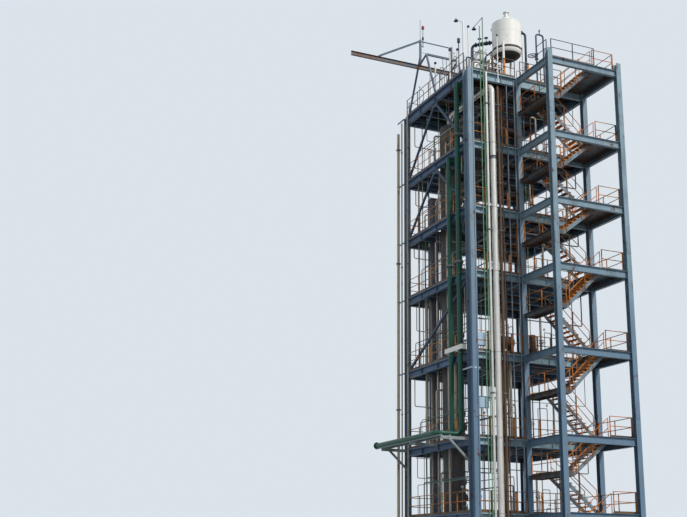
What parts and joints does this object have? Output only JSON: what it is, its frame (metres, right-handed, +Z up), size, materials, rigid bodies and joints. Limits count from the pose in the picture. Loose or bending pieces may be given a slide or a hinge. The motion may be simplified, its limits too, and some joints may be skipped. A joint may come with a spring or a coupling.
{
  "type": "distillation column in an access tower",
  "caption": "Tall distillation column and a slim column inside an open blue steel tower with floors, an outside stair, pipe risers, a white drum on legs and a lifting frame on top",
  "frame": {"origin": "on the axis of the main column at ground level, under its plinth", "axes": "+Z up the column, +X along the front face of the tower from the heavy corner leg to the stair, +Y back along its left face"},
  "size_m": [12.86, 12.21, 33.8],
  "materials": {
    "column_plinth": "cast concrete",
    "column_skirt": "grey blue paint",
    "column_bottom_head": "grey blue paint",
    "column_shell": "grey blue paint",
    "column_top_head": "grey blue paint",
    "column_nozzles": "grey blue paint",
    "overhead_line": "insulation cladding",
    "slim_plinth": "cast concrete",
    "slim_skirt": "dark blue paint",
    "slim_shell": "dark blue paint",
    "slim_heads": "dark blue paint",
    "column_guides": "light blue paint, weathered and streaked",
    "base_plates": "light blue paint, weathered and streaked",
    "main_legs": "light blue paint, weathered and streaked",
    "floor_beams_1": "light blue paint, weathered and streaked",
    "floor_beams_2": "light blue paint, weathered and streaked",
    "floor_beams_3": "light blue paint, weathered and streaked",
    "floor_beams_4": "light blue paint, weathered and streaked",
    "floor_beams_5": "light blue paint, weathered and streaked",
    "floor_beams_6": "light blue paint, weathered and streaked",
    "top_beams": "light blue paint, weathered and streaked",
    "floor_decks": "dark steel grating",
    "top_deck": "dark steel grating",
    "lower_handrails": "orange paint with rust",
    "upper_handrails": "orange paint with rust",
    "top_handrails": "orange paint with rust",
    "braces": "dark blue paint",
    "stair_legs": "pale blue paint, weathered",
    "stair_ties": "pale blue paint, weathered",
    "mid_landings": "pale blue paint, weathered",
    "floor_landings": "pale blue paint, weathered",
    "stair_stringers": "pale blue paint, weathered",
    "stair_treads": "orange paint with rust",
    "stair_rails": "orange paint with rust",
    "pipe_ledge": "light blue paint, weathered and streaked",
    "riser_bars": "light blue paint, weathered and streaked",
    "green_pipes": "green paint",
    "light_green_pipes": "light green paint",
    "brown_pipes": "brown primer with rust",
    "grey_pipes": "grey paint",
    "rear_pipes": "cream and grey paint",
    "drum_shell": "white paint",
    "drum_top_head": "white paint",
    "drum_bottom_head": "brown primer with rust",
    "drum_ring": "dark paint with rust",
    "drum_legs": "white paint",
    "drum_nozzle": "white paint",
    "gallows": "grey paint",
    "runway_beam": "dark paint with rust",
    "vent_pipes": "white paint",
    "pipe_loop": "dark blue paint",
    "light_pole": "white paint",
    "silver_pipe": "insulation cladding",
    "column_lines": "insulation cladding, dusty",
    "floor_lines": "insulation cladding, dusty",
    "floor_vessels": "brown primer with rust",
    "drum_lines": "dark blue paint",
    "lamps": "dark paint with rust",
    "lightning_rods": "grey paint"
  },
  "bodies": {
    "root": {"column_plinth": "column_plinth", "column_skirt": "column_skirt", "column_bottom_head": "column_bottom_head", "column_shell": "column_shell", "column_top_head": "column_top_head", "column_nozzles": "column_nozzles", "overhead_line": "overhead_line", "slim_plinth": "slim_plinth", "slim_skirt": "slim_skirt", "slim_shell": "slim_shell", "slim_heads": "slim_heads", "column_guides": "column_guides", "base_plates": "base_plates", "main_legs": "main_legs", "floor_beams_1": "floor_beams_1", "floor_beams_2": "floor_beams_2", "floor_beams_3": "floor_beams_3", "floor_beams_4": "floor_beams_4", "floor_beams_5": "floor_beams_5", "floor_beams_6": "floor_beams_6", "top_beams": "top_beams", "floor_decks": "floor_decks", "top_deck": "top_deck", "lower_handrails": "lower_handrails", "upper_handrails": "upper_handrails", "top_handrails": "top_handrails", "braces": "braces", "stair_legs": "stair_legs", "stair_ties": "stair_ties", "mid_landings": "mid_landings", "floor_landings": "floor_landings", "stair_stringers": "stair_stringers", "stair_treads": "stair_treads", "stair_rails": "stair_rails", "pipe_ledge": "pipe_ledge", "riser_bars": "riser_bars", "green_pipes": "green_pipes", "light_green_pipes": "light_green_pipes", "brown_pipes": "brown_pipes", "grey_pipes": "grey_pipes", "rear_pipes": "rear_pipes", "drum_shell": "drum_shell", "drum_top_head": "drum_top_head", "drum_bottom_head": "drum_bottom_head", "drum_ring": "drum_ring", "drum_legs": "drum_legs", "drum_nozzle": "drum_nozzle", "gallows": "gallows", "runway_beam": "runway_beam", "vent_pipes": "vent_pipes", "pipe_loop": "pipe_loop", "light_pole": "light_pole", "silver_pipe": "silver_pipe", "column_lines": "column_lines", "floor_lines": "floor_lines", "floor_vessels": "floor_vessels", "drum_lines": "drum_lines", "lamps": "lamps", "lightning_rods": "lightning_rods"}
  },
  "joints": []
}
